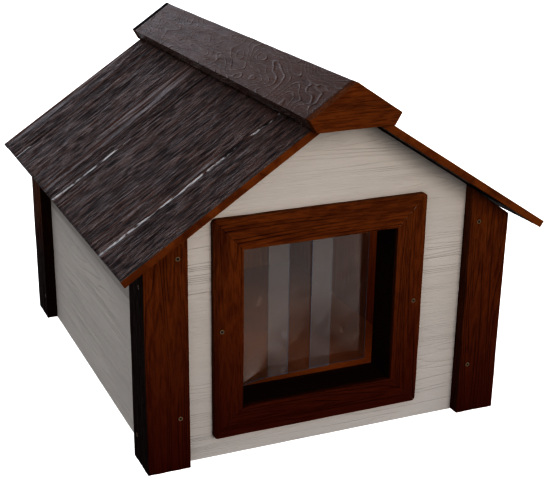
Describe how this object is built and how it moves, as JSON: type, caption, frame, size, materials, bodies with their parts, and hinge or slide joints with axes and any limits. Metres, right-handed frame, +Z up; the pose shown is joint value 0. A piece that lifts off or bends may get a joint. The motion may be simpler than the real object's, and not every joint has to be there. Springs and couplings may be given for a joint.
{
  "type": "small animal house",
  "caption": "Gable-roofed wooden shelter for a small animal, with insulated walls, a lift-off roof with a ridge cap, and a framed doorway closed by swinging clear strips.",
  "frame": {"origin": "centre of the footprint of the whole object, on the ground", "axes": "+Z up, -Y out of the doorway, +X to the right when facing the doorway"},
  "size_m": [0.8726, 1.026, 0.7381],
  "materials": {
    "trim_brown": "satin",
    "roof_brown": "satin",
    "siding_beige": "matte",
    "liner_wood": "matte",
    "doorway_dark": "satin",
    "insulation": "matte",
    "clear_strip": "gloss",
    "screw_dark": "satin"
  },
  "bodies": {
    "house": {"door_frame_bottom": "trim_brown", "door_frame_left": "trim_brown", "door_frame_right": "trim_brown", "door_frame_top": "trim_brown", "doorway_head": "doorway_dark", "doorway_jamb_left": "doorway_dark", "doorway_jamb_right": "doorway_dark", "doorway_sill": "doorway_dark", "floor_deck": "liner_wood", "floor_joist_center": "liner_wood", "floor_joist_left": "liner_wood", "floor_joist_right": "liner_wood", "insulation_back": "insulation", "insulation_front": "insulation", "insulation_left": "insulation", "insulation_right": "insulation", "liner_back": "liner_wood", "liner_front": "liner_wood", "liner_left": "liner_wood", "liner_right": "liner_wood", "post_back_left": "trim_brown", "post_back_right": "trim_brown", "post_front_left": "trim_brown", "post_front_right": "trim_brown", "screw_back_left_high": "screw_dark", "screw_back_left_low": "screw_dark", "screw_back_right_high": "screw_dark", "screw_back_right_low": "screw_dark", "screw_door_left": "screw_dark", "screw_door_right": "screw_dark", "screw_front_left_high": "screw_dark", "screw_front_left_low": "screw_dark", "screw_front_right_high": "screw_dark", "screw_front_right_low": "screw_dark", "screw_side_back_left_high": "screw_dark", "screw_side_back_left_low": "screw_dark", "screw_side_back_right_high": "screw_dark", "screw_side_back_right_low": "screw_dark", "screw_side_front_left_high": "screw_dark", "screw_side_front_left_low": "screw_dark", "screw_side_front_right_high": "screw_dark", "screw_side_front_right_low": "screw_dark", "siding_back": "siding_beige", "siding_front": "siding_beige", "siding_left": "siding_beige", "siding_right": "siding_beige", "strip_clamp_bar": "doorway_dark"},
    "roof": {"ridge_beam": "liner_wood", "ridge_cap_left": "roof_brown", "ridge_cap_right": "roof_brown", "ridge_end_back": "trim_brown", "ridge_end_front": "trim_brown", "roof_cleat_left": "liner_wood", "roof_cleat_right": "liner_wood", "roof_panel_left": "roof_brown", "roof_panel_right": "roof_brown"},
    "strip_left": {"strip_left": "clear_strip"},
    "strip_middle": {"strip_middle": "clear_strip"},
    "strip_right": {"strip_right": "clear_strip"}
  },
  "joints": [
    {"name": "roof_lift", "type": "slide", "parent": "house", "child": "roof", "axis": [0, 0, 1], "range_m": [0, 0.25]},
    {"name": "strip_middle_swing", "type": "hinge", "parent": "house", "child": "strip_middle", "pos_m": [0, -0.36325, 0.402], "axis": [1, 0, 0], "range_deg": [-75, 75]},
    {"name": "strip_left_swing", "type": "hinge", "parent": "house", "child": "strip_left", "pos_m": [0, -0.36325, 0.402], "axis": [1, 0, 0], "range_deg": [-75, 75]},
    {"name": "strip_right_swing", "type": "hinge", "parent": "house", "child": "strip_right", "pos_m": [0, -0.36325, 0.402], "axis": [1, 0, 0], "range_deg": [-75, 75]}
  ],
  "couplings": [
    {"joint": "strip_left_swing", "follows": "strip_middle_swing", "ratio": 1},
    {"joint": "strip_right_swing", "follows": "strip_middle_swing", "ratio": 1}
  ]
}
